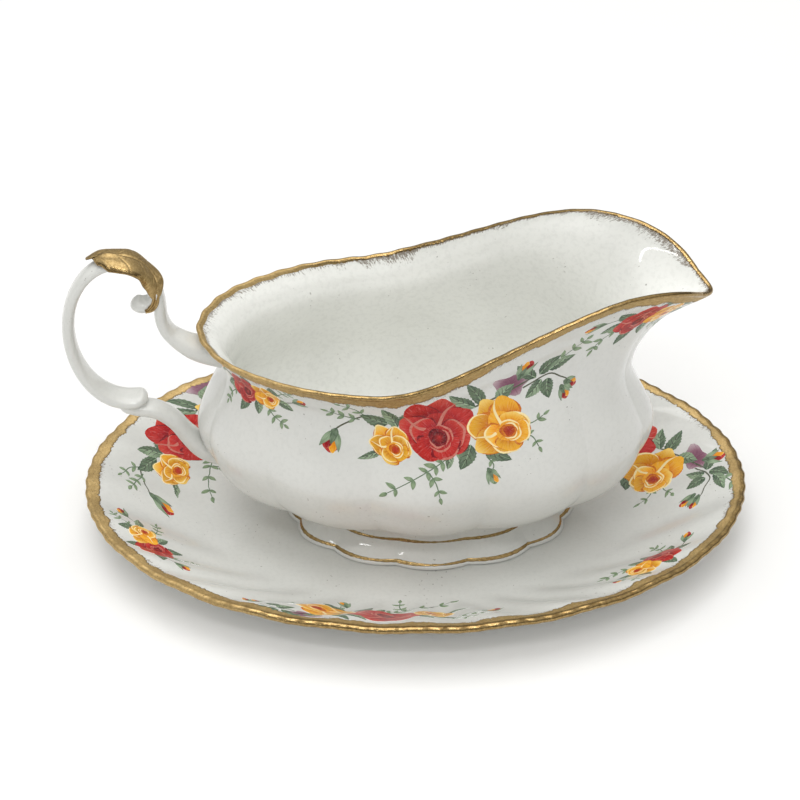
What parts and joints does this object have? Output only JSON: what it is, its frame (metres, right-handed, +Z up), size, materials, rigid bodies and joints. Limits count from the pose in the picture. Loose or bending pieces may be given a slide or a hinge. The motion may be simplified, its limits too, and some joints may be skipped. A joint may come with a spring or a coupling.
{
  "type": "gravy boat",
  "caption": "Footed oval china gravy boat with a lobed body, long pouring lip and scroll handle, on a separate oval stand with a gilt rim.",
  "frame": {"origin": "on the table, under the middle of the oval stand", "axes": "+X towards the pouring lip, along the stand's length; +Z up; the boat's middle plane is y = 0"},
  "size_m": [0.2282, 0.152, 0.1149],
  "materials": {
    "china": "clear glossy glaze on white china",
    "gilding": "brushed antique gold, burnished on the edges"
  },
  "bodies": {
    "stand": {"stand_plate": "china", "stand_foot_ring": "china", "stand_rim_gilding": "gilding"},
    "boat": {"bowl": "china", "foot": "china", "handle": "china", "thumb_leaf": "gilding", "bowl_rim_gilding": "gilding", "foot_edge_gilding": "gilding", "foot_neck_gilding": "gilding"}
  },
  "joints": [
    {"name": "boat_lift", "type": "slide", "parent": "stand", "child": "boat", "axis": [0, 0, 1], "range_m": [0, 0.1]}
  ]
}
